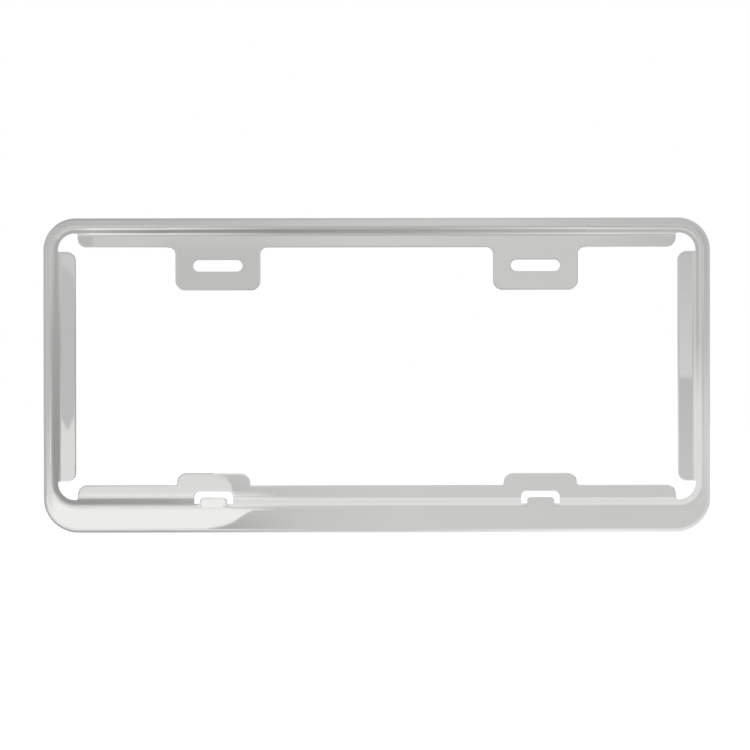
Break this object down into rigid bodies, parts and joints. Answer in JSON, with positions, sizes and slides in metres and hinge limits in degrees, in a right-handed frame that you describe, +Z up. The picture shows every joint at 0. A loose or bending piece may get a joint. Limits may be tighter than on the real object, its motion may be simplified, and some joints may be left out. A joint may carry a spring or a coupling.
{
  "type": "number plate holder",
  "caption": "Pressed stainless steel number plate holder: a rounded frame with a stepped pocket for the plate, slotted bolt tabs above and lanced hook tongues below.",
  "frame": {"origin": "midway between the two bolt slots, on the rear side of the flange", "axes": "+X to the viewer's right along the plate's length, +Z up, and the front face looks along -Y"},
  "size_m": [0.3988, 0.004, 0.188],
  "materials": {
    "polished_stainless": "mirror-polished stainless steel sheet"
  },
  "bodies": {
    "root": {"plate_frame": "polished_stainless"}
  },
  "joints": []
}
